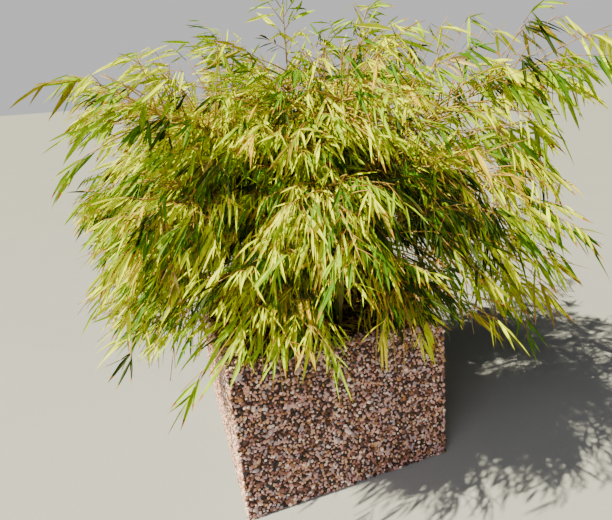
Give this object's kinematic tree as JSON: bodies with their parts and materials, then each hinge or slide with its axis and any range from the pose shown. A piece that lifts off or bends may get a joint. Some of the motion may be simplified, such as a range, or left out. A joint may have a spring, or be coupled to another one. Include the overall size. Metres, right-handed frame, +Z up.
{
  "type": "potted bamboo",
  "caption": "Clump-forming bamboo with a dense arching crown, growing in an open rectangular concrete planter with a pebble face.",
  "frame": {"origin": "on the ground under the middle of the planter, at its flat underside", "axes": "+Z up; +X to the right along the planter's front face, which looks towards -Y; +Y from the planter's front to its back"},
  "size_m": [2.0336, 1.6117, 1.7194],
  "materials": {
    "concrete": "matte",
    "soil": "matte",
    "cane": "satin",
    "leaf": "satin"
  },
  "bodies": {
    "root": {"planter": "concrete", "soil": "soil", "culm_low_1": "cane", "culm_low_2": "cane", "culm_low_3": "cane", "culm_low_4": "cane", "culm_low_5": "cane", "culm_low_6": "cane", "culm_low_7": "cane", "culm_low_8": "cane", "culm_side_1": "cane", "culm_side_2": "cane", "culm_side_3": "cane", "culm_side_4": "cane", "culm_side_5": "cane", "culm_side_6": "cane", "culm_side_7": "cane", "culm_side_8": "cane", "culm_shoulder_1": "cane", "culm_shoulder_2": "cane", "culm_shoulder_3": "cane", "culm_shoulder_4": "cane", "culm_shoulder_5": "cane", "culm_shoulder_6": "cane", "culm_top_1": "cane", "culm_top_2": "cane", "culm_top_3": "cane", "foliage_low_1": "leaf", "foliage_low_2": "leaf", "foliage_low_3": "leaf", "foliage_low_4": "leaf", "foliage_low_5": "leaf", "foliage_low_6": "leaf", "foliage_low_7": "leaf", "foliage_low_8": "leaf", "foliage_side_1": "leaf", "foliage_side_2": "leaf", "foliage_side_3": "leaf", "foliage_side_4": "leaf", "foliage_side_5": "leaf", "foliage_side_6": "leaf", "foliage_side_7": "leaf", "foliage_side_8": "leaf", "foliage_shoulder_1": "leaf", "foliage_shoulder_2": "leaf", "foliage_shoulder_3": "leaf", "foliage_shoulder_4": "leaf", "foliage_shoulder_5": "leaf", "foliage_shoulder_6": "leaf", "foliage_top_1": "leaf", "foliage_top_2": "leaf", "foliage_top_3": "leaf"}
  },
  "joints": []
}
